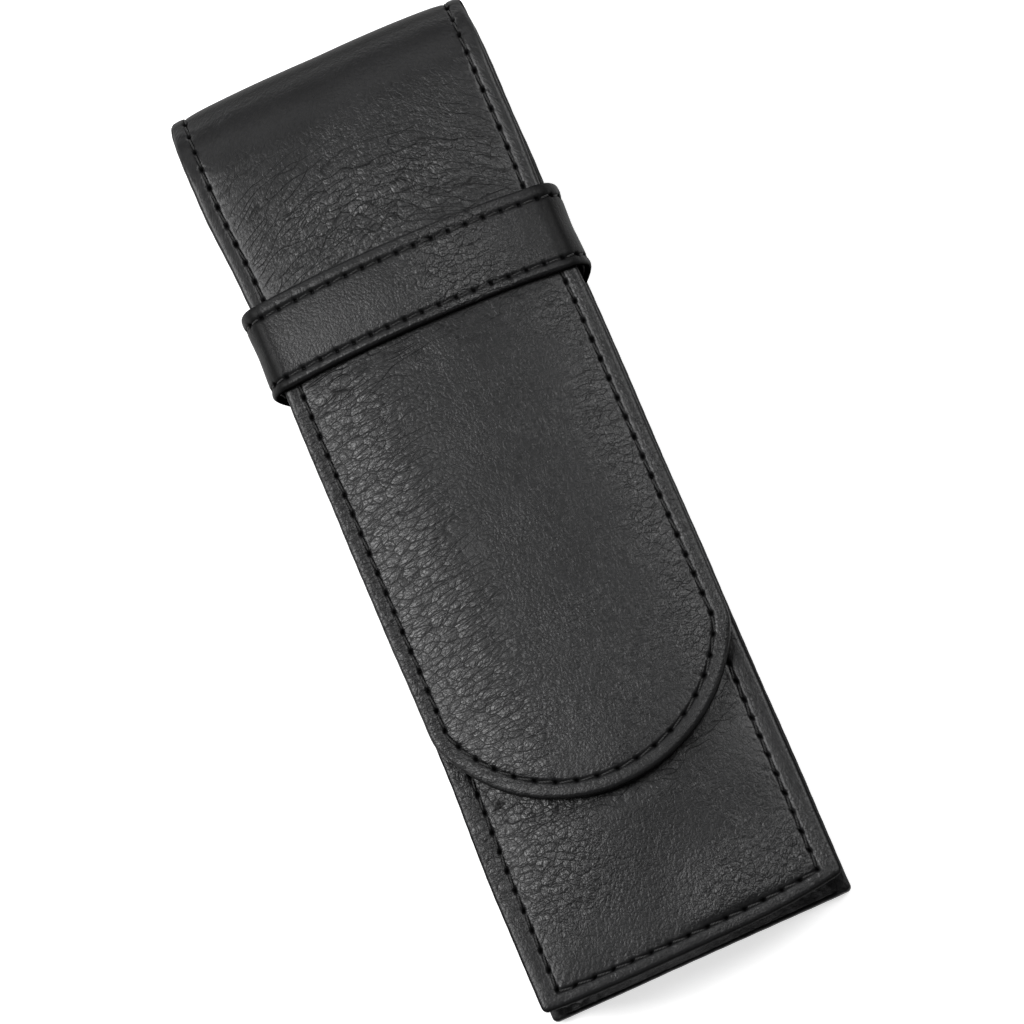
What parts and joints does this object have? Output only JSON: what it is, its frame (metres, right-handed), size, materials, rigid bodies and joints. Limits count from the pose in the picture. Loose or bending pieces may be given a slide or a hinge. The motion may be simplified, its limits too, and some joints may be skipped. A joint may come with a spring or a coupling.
{
  "type": "two pen case",
  "caption": "Slim leather case for a pair of pens, with a long round-ended flap that folds over the top and tucks under a fixed strap.",
  "frame": {"origin": "middle of the footprint, on the back's outer face, which the case lies on", "axes": "+X across the case to the right as its front is seen, +Y along it to the fold at its top, +Z out of the front through flap and strap"},
  "size_m": [0.0566, 0.16, 0.0228],
  "materials": {
    "outer_leather": "satin pebbled",
    "lining_leather": "matt smooth",
    "padding": "matt foam",
    "tape": "woven",
    "thread": "waxed twisted thread"
  },
  "bodies": {
    "pouch": {"back_cover": "outer_leather", "front_cover": "outer_leather", "gusset": "outer_leather", "strap_cover": "outer_leather", "back_padding": "padding", "front_padding": "padding", "back_lining": "lining_leather", "front_lining": "lining_leather", "gusset_lining": "lining_leather", "pen_divider": "lining_leather", "strap_lining": "lining_leather", "strap_tape": "tape", "back_stitching": "thread", "front_stitching": "thread", "divider_stitching_left": "thread", "divider_stitching_right": "thread", "strap_stitching_lower": "thread", "strap_stitching_upper": "thread"},
    "flap_top": {"top_cover": "outer_leather", "top_padding": "padding", "top_lining": "lining_leather", "top_stitching_left": "thread", "top_stitching_right": "thread"},
    "flap": {"flap_cover": "outer_leather", "flap_padding": "padding", "flap_lining": "lining_leather", "flap_stitching": "thread"}
  },
  "joints": [
    {"name": "back_fold", "type": "hinge", "parent": "pouch", "child": "flap_top", "pos_m": [0, 0.07795, 0.00205], "axis": [-1, 0, 0], "range_deg": [0, 90], "deforming": ["strap_cover", "strap_tape", "strap_lining", "strap_stitching_lower", "strap_stitching_upper"]},
    {"name": "front_fold", "type": "hinge", "parent": "flap_top", "child": "flap", "pos_m": [0, 0.07666, 0.01676], "axis": [-1, 0, 0], "range_deg": [0, 90]}
  ],
  "couplings": [
    {"joint": "front_fold", "follows": "back_fold", "ratio": 1}
  ]
}
